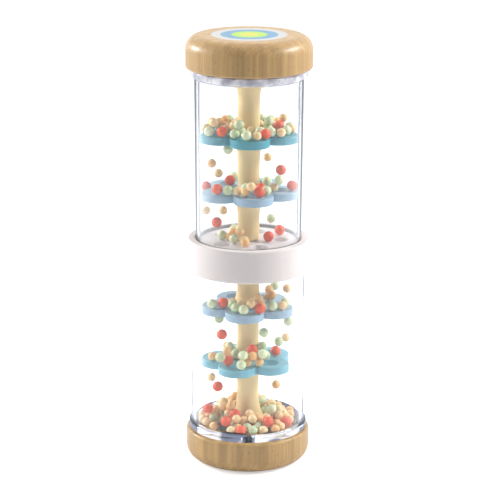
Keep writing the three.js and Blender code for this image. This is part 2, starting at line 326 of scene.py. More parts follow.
@dataclass(frozen=True)
class ClearPlastic(Finish):
    """Water-clear moulded styrene copolymer, polished by its mould.

    It bends what lies behind its edges, mirrors the lights on its curve, and has the faint
    waviness of a thin moulded wall. Its colour also carries painted light: dark painted
    reflections along the edges where the eye looks along the wall and in patches in the thick
    foot, and a grey painted shade line at the collar seat. Lamps and the glow of nearby surfaces
    pass straight through it, as they do through so thin a wall, so that the beads inside are
    well lit.
    """

    tint: str = "fbfcfe"
    shade: str = "f7f9fd"
    ior: float = 1.52
    roughness: float = 0.02
    wave_mm: float = 14.0
    frosted_above: float | None = None
    frost: Stops = ((0.34, "a3a1b2"), (0.5, "d2d2dc"), (0.64, "f6f6fa"))
    frost_share: float = 0.82
    # Painted reflection: the dark tone that the wall takes where the eye looks along it.
    edge: str = "070b12"
    painted_edge_reflection_starts: float = 0.67
    painted_edge_reflection_full: float = 0.77
    # Painted shade: a grey line in the wall at the height where the tube is seated in the collar.
    seat: float | None = None
    painted_seat_shade: str = "a4aaa8"
    # Painted reflection: below this height the thick foot takes dark patches of the foot tone.
    painted_foot_reflection_below: float | None = None
    foot: str = "3c4460"
    foot_reflection_patch_mm: float = 11.0

    def build(self, nodes: Nodes) -> bpy.types.Material:
        """Builds glass for the eye, mixed with a plain see-through shader for lamps."""
        waves = nodes.add(
            "TexNoise", {"Vector": nodes.place, "Scale": 1 / self.wave_mm, "Detail": 1.0}
        )
        tinted = nodes.add("Mix", {"Factor": waves, 6: self.tint, 7: self.shade}, data_type="RGBA")
        clear = {
            "Base Color": self.body_colour(nodes, tinted),
            "Roughness": self.roughness,
            "IOR": self.ior,
            "Transmission Weight": 1.0,
            "Normal": nodes.add("Bump", {"Height": waves, "Strength": 0.25, "Distance": 0.5 * MM}),
        }
        path = nodes.add("LightPath").outputs
        lit = {0: path["Is Shadow Ray"], 1: path["Is Diffuse Ray"]}
        ways = {
            0: nodes.add("Math", lit, operation="MAXIMUM"),
            1: nodes.add("BsdfPrincipled", clear),
            2: nodes.add("BsdfTransparent", {"Color": "ffffff"}),
        }
        shader = nodes.add("MixShader", ways)
        return nodes.close(shader if self.frosted_above is None else self.frosted(nodes, shader))

    @staticmethod
    def towards(
        nodes: Nodes, colour: Feed, measure: Feed, start: float, full: float, tone: str
    ) -> bpy.types.Node:
        """Takes a colour towards a tone as a measure goes from one value to another.

        Args:
            nodes: The material's nodes.
            colour: The colour so far.
            measure: What leads the change.
            start: The measure's value where nothing has changed yet.
            full: Its value where only the tone is left.
            tone: The tone, as a hex colour.

        Returns:
            The changed colour.
        """
        share = nodes.add("MapRange", {"Value": measure, "From Min": start, "From Max": full})
        return nodes.add("Mix", {"Factor": share, 6: colour, 7: tone}, data_type="RGBA")

    def body_colour(self, nodes: Nodes, tinted: Feed) -> Feed:
        """The plastic's colour, with painted light in it: a painted dark reflection where the eye
        looks along the wall.

        The thick foot has painted dark reflections in patches between clear ones, and the seat a
        painted shade line.

        Args:
            nodes: The material's nodes.
            tinted: The clean plastic's tint.

        Returns:
            The colour for the glass shader.
        """
        # Painted reflection: the wall's colour darkens towards the edge tone where it is seen edge-on.
        glance = nodes.add("LayerWeight", {"Blend": 0.5}).outputs["Facing"]
        colour = self.towards(nodes, tinted, glance, self.painted_edge_reflection_starts, self.painted_edge_reflection_full, self.edge)
        # Painted shade: the wall turns grey in a thin line at the seat.
        if self.seat is not None:
            start, full = self.seat + 0.3, self.seat - 0.2
            colour = self.towards(nodes, colour, nodes.height, start, full, self.painted_seat_shade)
        # Painted reflection: dark patches in the thick foot, standing in for dark surroundings seen through it.
        if self.painted_foot_reflection_below is not None:
            painted_reflection_patches = nodes.add(
                "TexNoise", {"Vector": nodes.place, "Scale": 1 / self.foot_reflection_patch_mm, "Detail": 0.0}
            )
            lift = {"From Min": self.painted_foot_reflection_below - 1.0, "From Max": self.painted_foot_reflection_below}
            lifted = nodes.add("MapRange", {"Value": nodes.height, **lift})
            clear = nodes.add("Math", {0: painted_reflection_patches, 1: lifted}, operation="MAXIMUM")
            colour = self.towards(nodes, colour, clear, 0.55, 0.47, self.foot)
        return colour

    def frosted(self, nodes: Nodes, clear: Feed) -> bpy.types.Node:
        """The ring where the tube is welded to its cap: the clear plastic turned milky.

        Args:
            nodes: The material's nodes.
            clear: The clear plastic's shader.

        Returns:
            The mix of clear and milky plastic.
        """
        cloud = nodes.add("TexNoise", {"Vector": nodes.place, "Scale": 1 / 5.0, "Detail": 2.0})
        tone = nodes.add("ValToRGB", {"Fac": cloud}, stops=self.frost)
        milky = nodes.add("BsdfPrincipled", {"Base Color": tone, "Roughness": 0.3, "IOR": 1.52})
        rise = {"From Min": self.frosted_above - 0.3, "From Max": self.frosted_above + 0.3}
        share = nodes.add("MapRange", {"Value": nodes.height, **rise, "To Max": self.frost_share})
        return nodes.add("MixShader", {0: share, 1: clear, 2: milky})


@dataclass(frozen=True)
class MouldedPlastic(Finish):
    """Opaque moulded styrene or ABS from a fine spark-eroded mould.

    It is satin, with a grain too fine to count, slightly cloudy colour where the melt flowed,
    and a little light let in at its edges.
    """

    colour: str
    cloud: str
    roughness: float = 0.42
    depth: float = 0.1
    grain_mm: float = 0.35
    cloud_mm: float = 7.0

    def build(self, nodes: Nodes) -> bpy.types.Material:
        """Builds the satin plastic."""
        melt = {"Vector": nodes.place, "Scale": 1 / self.cloud_mm, "Detail": 2.0, "Distortion": 0.6}
        flow = nodes.add("TexNoise", melt)
        grain = nodes.add(
            "TexNoise", {"Vector": nodes.place, "Scale": 1 / self.grain_mm, "Detail": 1.0}
        )
        dull = {"To Min": self.roughness - 0.05, "To Max": self.roughness + 0.07}
        satin = {
            "Base Color": nodes.add(
                "Mix", {"Factor": flow, 6: self.colour, 7: self.cloud}, data_type="RGBA"
            ),
            "Roughness": nodes.add("MapRange", {"Value": grain, **dull}),
            "IOR": 1.5,
            "Subsurface Weight": self.depth,
            "Subsurface Radius": (1.0, 0.8, 0.7),
            "Subsurface Scale": self.depth * 4 * MM,
            "Normal": nodes.add("Bump", {"Height": grain, "Strength": 0.12, "Distance": 0.03 * MM}),
        }
        return nodes.close(nodes.add("BsdfPrincipled", satin))


@dataclass(frozen=True)
class BeadPlastic(Finish):
    """Tumbled styrene balls: dull, coloured right through, each batch a little different.

    The tint attribute gives each ball its own place between two shades.
    """

    colour: str
    other: str
    scuff_mm: float = 0.4

    def build(self, nodes: Nodes) -> bpy.types.Material:
        """Builds the dull plastic, its shade led by each ball's tint."""
        tint = nodes.add("Attribute", attribute_name="tint").outputs["Fac"]
        scuffs = nodes.add(
            "TexNoise", {"Vector": nodes.place, "Scale": 1 / self.scuff_mm, "Detail": 2.0}
        )
        dull = {
            "Base Color": nodes.add(
                "Mix", {"Factor": tint, 6: self.colour, 7: self.other}, data_type="RGBA"
            ),
            "Roughness": 0.5,
            "IOR": 1.5,
            "Subsurface Weight": 0.1,
            "Subsurface Radius": (1.0, 0.6, 0.4),
            "Subsurface Scale": 0.8 * MM,
            "Normal": nodes.add("Bump", {"Height": scuffs, "Strength": 0.2, "Distance": 0.04 * MM}),
        }
        return nodes.close(nodes.add("BsdfPrincipled", dull))


@dataclass(frozen=True)
class ScrewSteel(Finish):
    """Zinc-plated steel: grey, with fine marks left by thread rolling."""

    def build(self, nodes: Nodes) -> bpy.types.Material:
        """Builds the plated steel."""
        marks = nodes.add("VectorMath", {0: nodes.place, 1: (0.5, 0.5, 6.0)}, operation="MULTIPLY")
        noise = nodes.add("TexNoise", {"Vector": marks, "Scale": 1.0})
        roughness = nodes.add("MapRange", {"Value": noise, "To Min": 0.25, "To Max": 0.45})
        plated = {"Base Color": "b9bcc0", "Metallic": 1.0, "Roughness": roughness}
        return nodes.close(nodes.add("BsdfPrincipled", plated))


class BeadKind(Enum):
    """The three kinds of bead: radius in millimetres and the two shades they lie between."""

    CORAL = (2.45, "f05a20", "e24f20")
    GREEN = (2.3, "dde2b6", "bccb9c")
    CREAM = (2.1, "f4d9a4", "ebb066")

    @property
    def radius(self) -> float:
        """The bead's radius in millimetres."""
        return self.value[0]

    @property
    def finish(self) -> BeadPlastic:
        """The plastic that this kind of bead is made of."""
        return BeadPlastic(f"{self.name.lower()}_bead_plastic", *self.value[1:])

    @property
    def slot(self) -> str:
        """The record's material slot for this kind."""
        return f"bead_{self.name.lower()}"


# ---------------------------------------------------------------- surfaces


@dataclass
class Surface:
    """Points in millimetres and the four-cornered faces between them."""

    points: np.ndarray
    faces: np.ndarray
    tint: np.ndarray | None = None


def arc(centre: tuple[float, float], radius: float, start: float, end: float, steps: int = 12) -> np.ndarray:
    """Points of a circular arc: the centre plus the radius times cosine and sine.

    Args:
        centre: Distance from the axis and height of the arc's centre.
        radius: The arc's radius.
        start: Its first angle in degrees, from outwards towards up.
        end: Its last angle.
        steps: How many steps it takes.

    Returns:
        An array of points, each a distance from the axis and a height.
    """
    angle = np.radians(np.linspace(start, end, steps + 1))
    return np.stack(
        [centre[0] + radius * np.cos(angle), centre[1] + radius * np.sin(angle)], axis=-1
    )


def outline(*stretches: object) -> np.ndarray:
    """Joins points and arcs into one profile.

    A long straight stretch gets a point near each end, so that smooth shading bends only there
    and the wall between stays true.

    Args:
        *stretches: Points and arrays of points, in order.

    Returns:
        The profile's points.
    """
    points = np.concatenate([np.atleast_2d(np.asarray(s, float)) for s in stretches])
    step = np.diff(points, axis=0)
    length = np.linalg.norm(step, axis=1)
    long = np.flatnonzero(length > LONG_STRETCH_MM)
    inset = step[long] * (SUPPORT_MM / length[long])[:, None]
    return np.insert(
        points,
        np.repeat(long + 1, 2),
        np.stack([points[long] + inset, points[long + 1] - inset], axis=1).reshape(-1, 2),
        axis=0,
    )


def grid_faces(rows: int, columns: int, close_rows: bool, close_columns: bool) -> np.ndarray:
    """Four-cornered faces of a grid: each joins a point to its neighbours by index.

    Args:
        rows: How many rows of points.
        columns: How many points in a row.
        close_rows: Whether the last row joins the first.
        close_columns: Whether the last column joins the first.

    Returns:
        An array with four point numbers for each face.
    """
    row = np.arange(rows if close_rows else rows - 1)[:, None]
    column = np.arange(columns if close_columns else columns - 1)[None, :]
    next_row = (row + 1) % rows
    next_column = (column + 1) % columns
    corners = [
        row * columns + column,
        row * columns + next_column,
        next_row * columns + next_column,
        next_row * columns + column,
    ]
    return np.stack([np.broadcast_to(c, corners[0].shape) for c in corners], -1).reshape(-1, 4)


def turned(profile: np.ndarray, steps: int, closed: bool = False) -> Surface:
    """Turns a profile round the Z axis: x is r sin a, y is -r cos a, and z is the height.

    Args:
        profile: Points, each a distance from the axis and a height.
        steps: How many steps go round.
        closed: Whether the profile's last point joins its first.

    Returns:
        The turned surface.
    """
    angle = np.linspace(0, FULL_TURN, steps, endpoint=False)
    reach, height = profile[:, :1], profile[:, 1:]
    points = np.stack([reach * np.sin(angle), -reach * np.cos(angle), height + 0 * angle], axis=-1)
    faces = grid_faces(len(profile), steps, closed, True)
    return Surface(points.reshape(-1, 3), faces)


def stood(profile: np.ndarray, node: str, upside_down: bool) -> np.ndarray:
    """Moves a profile drawn up from zero to its node's height, or hangs it from the node's top.

    Args:
        profile: Points, each a distance from the axis and a height.
        node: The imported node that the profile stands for.
        upside_down: Whether the profile hangs from the node's top.

    Returns:
        The profile in its place.
    """
    extent = Extent.of(node)
    height = extent.top - profile[:, 1] if upside_down else extent.bottom + profile[:, 1]
    return np.stack([profile[:, 0], height], axis=-1)


def joined(surfaces: list[Surface]) -> Surface:
    """Puts several surfaces into one, with their point numbers moved on."""
    starts = np.cumsum([0] + [len(s.points) for s in surfaces[:-1]])
    tints = [s.tint for s in surfaces]
    return Surface(
        np.concatenate([s.points for s in surfaces]),
        np.concatenate([s.faces + start for s, start in zip(surfaces, starts)]),
        None if tints[0] is None else np.concatenate(tints),
    )


def ball(centre: np.ndarray, radius: float, around: int, bands: int, tint: float) -> Surface:
    """A ball: radius times the unit vector at each longitude and latitude.

    Args:
        centre: Its centre in millimetres.
        radius: Its radius.
        around: How many steps of longitude.
        bands: How many bands of latitude.
        tint: Its place between its kind's two shades.

    Returns:
        The ball's surface, from its lowest point to its highest.
    """
    latitude = np.linspace(-90, 90, bands + 1)
    profile = np.stack(
        [radius * np.cos(np.radians(latitude)), radius * np.sin(np.radians(latitude))], -1
    )
    surface = turned(profile, around)
    surface.points = surface.points + centre
    surface.tint = np.full(len(surface.points), tint)
    return surface


def at_turn(turn: float, reach: float) -> np.ndarray:
    """A flat place at a turn from the front, in degrees towards +X, and a reach."""
    angle = math.radians(turn)
    return np.array([reach * math.sin(angle), -reach * math.cos(angle)])


def make_piece(
    name: str,
    surface: Surface,
    finish: Finish,
    slot: str,
    node: str | None = None,
    body: str | None = None,
    sharp_degrees: float = 35.0,
) -> bpy.types.Object:
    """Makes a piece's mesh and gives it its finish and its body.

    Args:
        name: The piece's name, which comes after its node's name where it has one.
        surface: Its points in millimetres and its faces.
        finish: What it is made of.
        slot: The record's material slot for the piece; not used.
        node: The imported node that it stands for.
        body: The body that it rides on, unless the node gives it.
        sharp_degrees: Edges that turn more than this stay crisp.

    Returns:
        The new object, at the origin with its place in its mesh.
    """
    if node is not None:
        name, body = f"{node}_{name}", body_of(node)
    mesh = bpy.data.meshes.new(name)
    mesh.from_pydata((surface.points * MM).tolist(), [], surface.faces.tolist())
    if surface.tint is not None:
        attribute = mesh.attributes.new("tint", "FLOAT", "POINT")
        attribute.data.foreach_set("value", surface.tint.astype(np.float32))
    work = bmesh.new()
    work.from_mesh(mesh)
    bmesh.ops.remove_doubles(work, verts=work.verts, dist=WELD_MM * MM)
    bmesh.ops.recalc_face_normals(work, faces=work.faces)
    work.to_mesh(mesh)
    work.free()
    mesh.shade_smooth()
    mesh.set_sharp_from_angle(angle=math.radians(sharp_degrees))
    mesh.materials.append(finish.material())
    piece = bpy.data.objects.new(name, mesh)
    bpy.context.scene.collection.objects.link(piece)
    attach(piece, body)
    if node is not None:
        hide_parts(node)
    LOG.info("%s: %d faces, on %s", name, len(mesh.polygons), body)
    return piece


def bevel(piece: bpy.types.Object, width: float, steps: int = 3) -> None:
    """Rounds a piece's crisp edges, as its mould does.

    Args:
        piece: The piece.
        width: How far the rounding reaches from each edge, in millimetres.
        steps: How many faces round it.
    """
    rounded = piece.modifiers.new("rounded_edges", "BEVEL")
    rounded.width = width * MM
    rounded.segments = steps
    rounded.limit_method = "ANGLE"
    rounded.angle_limit = math.radians(40)
    rounded.harden_normals = True


@dataclass(frozen=True)
class Extent:
    """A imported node's lowest and highest corner, in millimetres."""

    low: np.ndarray
    high: np.ndarray

    @classmethod
    def of(cls, node: str) -> Extent:
        """Reads a node's extent from the frame."""
        low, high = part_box(node)
        return cls(np.array(low) / MM, np.array(high) / MM)

    @property
    def bottom(self) -> float:
        """The height of the lowest point."""
        return float(self.low[2])

    @property
    def top(self) -> float:
        """The height of the highest point."""
        return float(self.high[2])

    @property
    def radius(self) -> float:
        """The greatest distance from the axis along X."""
        return float(self.high[0])

    @property
    def centre(self) -> np.ndarray:
        """The middle of the box."""
        return (self.low + self.high) / 2


def body_of(node: str) -> str:
    """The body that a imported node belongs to."""
    groups = frame["record"]["behaviour"]["bodies"]
    return next(body for body, members in groups.items() if node in members)


# ---------------------------------------------------------------- wooden caps


@dataclass
class TurnedCap:
    """A beech cap: crowned on its outer face, flat where the tube meets it."""

    node: str
    finish: Beech
    crown_up: bool
    crown: float = 6.5
    ease: float = 1.2
    pilot_radius: float = 1.9
    pilot_depth: float = 11.0
    steps: int = 160

    def profile(self) -> np.ndarray:
        """The cap's side, lying on its crown, from the crown's centre to the pilot hole's end."""
        extent = Extent.of(self.node)
        radius, height = extent.radius, extent.top - extent.bottom
        flat_edge = radius - self.crown
        rings = [(flat_edge * share, 0.0) for share in (0.0, 0.35, 0.7, 0.9)]
        return outline(
            rings,
            arc((flat_edge, self.crown), self.crown, -90, 0, 18),
            arc((radius - self.ease, height - self.ease), self.ease, 0, 90, 6),
            (self.pilot_radius, height),
            (self.pilot_radius, height - self.pilot_depth),
            (0.0, height - self.pilot_depth),
        )

    def build(self) -> bpy.types.Object:
        """Turns the cap and stands it in its place."""
        surface = turned(stood(self.profile(), self.node, self.crown_up), self.steps)
        return make_piece("turning", surface, self.finish, "beech", self.node)


# ---------------------------------------------------------------- clear tubes


@dataclass
class ClearTube:
    """A clear cup: a closed, flanged end, and a wall that narrows towards its mouth."""

    node: str
    finish: ClearPlastic
    closed_end_up: bool
    foot: float
    mouth: float
    wall: float
    end: float = 1.7
    flange: float = 3.5
    corner: float = 2.6
    lip: float = 0.45
    clearance: float = 2.1
    steps: int = 192

    def profile(self) -> np.ndarray:
        """The cup's section, standing on its closed end, as a closed loop."""
        extent = Extent.of(self.node)
        rim, mouth_height = extent.radius, extent.top - extent.bottom
        inner_mouth = self.mouth - self.wall
        lip = min(self.lip, self.wall / 2 - 0.05)
        corner_reach = self.foot - self.wall - self.corner
        shoulder = 1.0
        return outline(
            (self.clearance, 0.0),
            arc((rim - 0.6, 0.6), 0.6, -90, 0, 5),
            arc((rim - 0.9, self.flange - 0.9), 0.9, 0, 75, 7),
            arc((self.foot + shoulder, self.flange + shoulder), shoulder, -105, -180, 6),
            arc((self.mouth - lip, mouth_height - lip), lip, 0, 90, 5),
            arc((inner_mouth + lip, mouth_height - lip), lip, 90, 180, 5),
            arc((corner_reach, self.end + self.corner), self.corner, 0, -90, 14),
            (self.clearance, self.end),
        )

    def build(self) -> bpy.types.Object:
        """Turns the cup and stands it in its place."""
        section = stood(self.profile(), self.node, self.closed_end_up)
        surface = turned(section, self.steps, closed=True)
        return make_piece("shell", surface, self.finish, "clear_plastic", self.node, sharp_degrees=50)


# ---------------------------------------------------------------- holed plates


@dataclass(frozen=True)
class Sector:
    """A fifth of a plate round one hole: the plate's own corner-to-corner boundary.

    The boundary runs along the outer edge, in along one border, round the hub and out along the
    other border. Straight lines from the hole's centre reach all of it, so the plate is a grid:
    hole + v (boundary - hole), with v from 0 at the hole's edge to 1 at the boundary.
    """

    hole_reach: float
    hole_radius: float
    outer: np.ndarray
    hub_radius: float
    border_steps: int = 9
    hub_steps: int = 8
    shares: tuple[float, ...] = (0.0, 0.12, 0.3, 0.5, 0.7, 0.88, 1.0)

    def boundary(self) -> np.ndarray:
        """The closed boundary about an aim along +X."""
        last = self.outer[-1]
        angle = math.atan2(last[1], last[0])
        reach = np.linspace(math.hypot(*last), self.hub_radius, self.border_steps + 1)[1:]
        border = np.stack([reach * math.cos(angle), reach * math.sin(angle)], -1)
        sweep = np.linspace(angle, -angle, self.hub_steps + 1)[1:]
        hub = self.hub_radius * np.stack([np.cos(sweep), np.sin(sweep)], -1)
        back = (border * (1, -1))[::-1][1:]
        return np.concatenate([self.outer, border, hub, back])

    def grid(self) -> np.ndarray:
        """Flat points from the hole's edge out to the boundary, one row for each share."""
        boundary = self.boundary()
        centre = np.array([self.hole_reach, 0.0])
        spoke = boundary - centre
        edge = centre + self.hole_radius * spoke / np.linalg.norm(spoke, axis=1)[:, None]
        share = np.array(self.shares)[:, None, None]
        return edge + share * (boundary - edge)


def spun(flat: np.ndarray, turn: float) -> np.ndarray:
    """Turns flat points, aimed along +X, to a turn from the front towards +X."""
    angle = math.radians(turn - 90)
    spin = np.array([[math.cos(angle), math.sin(angle)], [-math.sin(angle), math.cos(angle)]])
    return flat @ spin


def raised(flat: np.ndarray, height: float) -> np.ndarray:
    """Flat points with a height added."""
    return np.concatenate([flat, np.full((*flat.shape[:-1], 1), height)], axis=-1)


def strip(low: np.ndarray, high: np.ndarray, closed: bool) -> Surface:
    """The wall between two rows of points."""
    rows = np.stack([low, high])
    return Surface(rows.reshape(-1, 3), grid_faces(2, rows.shape[1], False, closed))


def plate_sector(top: Sector, under: Sector, turn: float, low: float, high: float) -> list[Surface]:
    """One fifth of a plate: its two faces and its hole's wall.

    Args:
        top: The sector that shapes the upper face.
        under: The sector that shapes the lower face.
        turn: Its aim, in degrees from the front towards +X.
        low: The height of the lower face.
        high: The height of the upper face.

    Returns:
        The surfaces, whose borders meet the next sector's.
    """
    upper = raised(spun(top.grid(), turn), high)
    lower = raised(spun(under.grid(), turn), low)
    faces = grid_faces(*upper.shape[:2], False, True)
    return [
        Surface(upper.reshape(-1, 3), faces),
        Surface(lower.reshape(-1, 3), faces[:, ::-1]),
        strip(lower[0], upper[0], True),
    ]


@dataclass
class FlowerShelf:
    """A moulded shelf: five round petals that run into each other, a hole in each."""

    node: str
    finish: MouldedPlastic
    slot: str
    turn: float
    petal: float
    reach: float
    petal_hole: float = 4.2
    hub_hole: float = 3.2
    edge: float = 0.5
    petals: int = 5
    arc_steps: int = 40

    @property
    def centres(self) -> list[np.ndarray]:
        """The petals' centres, which are their holes' centres too."""
        step = 360 / self.petals
        return [at_turn(self.turn + step * k, self.reach) for k in range(self.petals)]

    def sector(self) -> Sector:
        """One petal: a round arc from notch to notch, then in to the hub."""
        half = math.pi / self.petals
        spacing = self.reach * math.sin(half)
        notch = self.reach * math.cos(half) + math.sqrt(self.petal**2 - spacing**2)
        sweep = math.atan2(notch * math.sin(half), notch * math.cos(half) - self.reach)
        angle = np.linspace(-sweep, sweep, self.arc_steps + 1)
        rim = np.stack([self.reach + self.petal * np.cos(angle), self.petal * np.sin(angle)], -1)
        return Sector(self.reach, self.petal_hole, rim, self.hub_hole)

    def build(self) -> bpy.types.Object:
        """Makes the five petals in their place, with softly rounded edges."""
        extent = Extent.of(self.node)
        sector = self.sector()
        parts: list[Surface] = []
        for k in range(self.petals):
            turn = self.turn + 360 / self.petals * k
            parts += plate_sector(sector, sector, turn, extent.bottom, extent.top)
            edge = spun(sector.boundary(), turn)
            hub_start = len(sector.outer) + sector.border_steps - 1
            hub = edge[hub_start : hub_start + sector.hub_steps + 1]
            for side in (edge[: len(sector.outer)], hub):
                parts.append(strip(raised(side, extent.bottom), raised(side, extent.top), False))
        piece = make_piece("plate", joined(parts), self.finish, self.slot, self.node, sharp_degrees=40)
        bevel(piece, self.edge)
        return piece


@dataclass
class Collar:
    """The white collar: a ring round both tubes, and a floor with five passages across it."""

    node: str
    finish: MouldedPlastic
    top: float = 109.0
    ease: float = 0.9
    skirt: float = 26.8
    floor: float = 107.7
    groove: float = 107.0
    ceiling: float = 105.4
    groove_inner: float = 23.1
    groove_outer: float = 25.2
    spigot: float = 2.9
    spigot_reach: float = 4.5
    passages: int = 5
    passage_radius: float = 4.2
    passage_reach: float = 15.0
    passage_turn: float = 20.0
    sector_steps: int = 36

    @property
    def centres(self) -> list[np.ndarray]:
        """The passages' centres."""
        step = 360 / self.passages
        return [at_turn(self.passage_turn + step * k, self.passage_reach) for k in range(self.passages)]

    def sector(self, outer: float) -> Sector:
        """One passage's fifth of the floor, out to a radius."""
        half = math.pi / self.passages
        angle = np.linspace(-half, half, self.sector_steps + 1)
        rim = outer * np.stack([np.cos(angle), np.sin(angle)], -1)
        return Sector(self.passage_reach, self.passage_radius, rim, self.spigot)

    def ring(self) -> Surface:
        """The ring's section from the floor's edge over the top and down to the ceiling."""
        extent = Extent.of(self.node)
        edge = extent.radius - self.ease
        section = outline(
            (self.groove_inner, self.floor),
            (self.groove_inner, self.groove),
            (self.groove_outer, self.groove),
            (self.groove_outer, self.top - 0.35),
            arc((self.groove_outer + 0.35, self.top - 0.35), 0.35, 180, 90, 4),
            arc((edge, self.top - self.ease), self.ease, 90, 0, 8),
            arc((edge, extent.bottom + self.ease), self.ease, 0, -90, 8),
            arc((self.skirt + 0.35, extent.bottom + 0.35), 0.35, -90, -180, 4),
            (self.skirt, self.ceiling),
        )
        return self.spun_ring(section, self.sector_steps)

    def spun_ring(self, section: np.ndarray, steps: int) -> Surface:
        """Turns a section so that its steps fall on the floor sectors' own steps."""
        surface = turned(section, self.passages * steps)
        start = self.passage_turn + 180 / self.passages
        flat = spun(surface.points[:, :2], start + 90)
        surface.points = np.concatenate([flat, surface.points[:, 2:]], axis=1)
        return surface

    def spigots(self) -> list[Surface]:
        """The two pins that centre the column's inner spools."""
        tips = (
            (self.floor, self.floor + self.spigot_reach, 1),
            (self.ceiling, self.ceiling - self.spigot_reach, -1),
        )
        pins = []
        for root, tip, up in tips:
            section = outline(
                (self.spigot, root), (self.spigot, tip - 0.4 * up), (self.spigot - 0.4, tip), (0, tip)
            )
            pins.append(self.spun_ring(section, Sector.hub_steps))
        return pins

    def build(self) -> bpy.types.Object:
        """Makes the ring, the floor and the pins as one moulding."""
        top, under = self.sector(self.groove_inner), self.sector(self.skirt)
        parts = [self.ring(), *self.spigots()]
        for k in range(self.passages):
            turn = self.passage_turn + 360 / self.passages * k
            parts += plate_sector(top, under, turn, self.ceiling, self.floor)
        surface = joined(parts)
        return make_piece("ring", surface, self.finish, "collar_white", self.node, sharp_degrees=40)


# ---------------------------------------------------------------- column


@dataclass
class ColumnSpool:
    """A spool: a straight neck that flares to a wide rim, with a spigot or a screw recess."""

    node: str
    finish: MouldedPlastic
    rim_up: bool
    end_recess: bool
    neck: float = 5.2
    inner_flare: tuple[float, float] = (7.0, 10.0)
    end_flare: tuple[float, float] = (8.8, 13.0)
    power: float = 2.2
    spigot: float = 2.9
    spigot_reach: float = 8.6
    recess: float = 3.5
    recess_depth: float = 2.8
    socket: float = 3.2
    socket_depth: float = 4.8
    ease: float = 0.3
    steps: int = 72

    def profile(self) -> np.ndarray:
        """The spool standing on its neck. The flare's radius grows as a power of its height."""
        extent = Extent.of(self.node)
        length = extent.top - extent.bottom
        if not self.end_recess:
            length -= self.spigot_reach
        rim, reach = self.end_flare if self.end_recess else self.inner_flare
        share = np.linspace(0, 1, 25)
        radius = self.neck + (rim - self.neck) * share**self.power
        flare = np.stack([radius, length - reach * (1 - share)], -1)
        flare[-1, 1] -= self.ease
        core = self.recess if self.end_recess else self.spigot
        tip = length - self.recess_depth if self.end_recess else length + self.spigot_reach
        return outline(
            (0, self.socket_depth),
            (self.socket, self.socket_depth),
            (self.socket, 0),
            (self.neck - self.ease, 0),
            (self.neck, self.ease),
            flare,
            (rim - self.ease, length),
            (core, length),
            (core, tip),
            (0, tip),
        )

    def build(self) -> bpy.types.Object:
        """Turns the spool and stands it in its place."""
        surface = turned(stood(self.profile(), self.node, not self.rim_up), self.steps)
        return make_piece("turning", surface, self.finish, "column_cream", self.node)


# ---------------------------------------------------------------- beads


@dataclass
class Ball:
    """A bead's kind, centre, radius and tint."""

    kind: BeadKind
    centre: np.ndarray
    radius: float
    tint: float

    def surface(self, around: int, bands: int) -> Surface:
        """The bead's surface with the given steps."""
        return ball(self.centre, self.radius, around, bands, self.tint)


@dataclass
class PackedBead:
    """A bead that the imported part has: it is named, and its body moves it."""

    node: str
    tint: float
    around: int = 28
    bands: int = 16

    @property
    def kind(self) -> BeadKind:
        """The kind whose radius fits the node's height."""
        extent = Extent.of(self.node)
        radius = (extent.top - extent.bottom) / 2
        return min(BeadKind, key=lambda kind: abs(kind.radius - radius))

    def ball(self) -> Ball:
        """The bead as a ball."""
        kind = self.kind
        return Ball(kind, Extent.of(self.node).centre, kind.radius, self.tint)

    def build(self) -> bpy.types.Object:
        """Makes the smooth bead in its place."""
        made = self.ball()
        surface = made.surface(self.around, self.bands)
        return make_piece("ball", surface, made.kind.finish, made.kind.slot, self.node)


@dataclass(frozen=True)
class Well:
    """An upright way that must stay clear for a falling bead."""

    x: float
    y: float
    radius: float
    low: float
    high: float


@dataclass(frozen=True)
class Accent:
    """Where a bead of a chosen kind shows in a drift: turn, reach and lift above the floor."""

    kind: BeadKind
    turn: float
    reach: float
    lift: float = 0.0


@dataclass(frozen=True)
class Chamber:
    """The room between two floors: its walls and the column through it."""

    floor: float
    ceiling: float
    bore: float
    flare_up: bool
    rim: float = 7.0
    flare: float = 10.0
    neck: float = 5.2
    power: float = 2.2
    spare: float = 0.3

    def column_radius(self, height: np.ndarray) -> np.ndarray:
        """The column's radius at a height, by the spools' own flare."""
        end = self.ceiling - height if self.flare_up else height - self.floor
        share = np.clip(1 - end / self.flare, 0, 1)
        return self.neck + (self.rim - self.neck) * share**self.power

    def clear(self, reach: np.ndarray, height: np.ndarray, radius: float, travel: float) -> np.ndarray:
        """Whether a bead clears the tube and the column all the way up its travel.

        Args:
            reach: Its distance from the axis.
            height: Its height at rest.
            radius: Its radius.
            travel: How far it is lifted.

        Returns:
            True where it is clear.
        """
        lifts = np.linspace(0, travel, 8)[:, None, None]
        probes = np.linspace(-radius, radius, 9)[None, :, None]
        centre = height[None, None, :] + lifts
        probe = centre + probes
        side = reach[None, None, :] - self.column_radius(probe)
        column = np.sqrt(np.clip(side, 0, None) ** 2 + probes**2) - radius
        inside = (side > 0).all(axis=(0, 1)) & (self.bore - reach - radius > self.spare)
        return inside & (column.min(axis=(0, 1)) > self.spare)


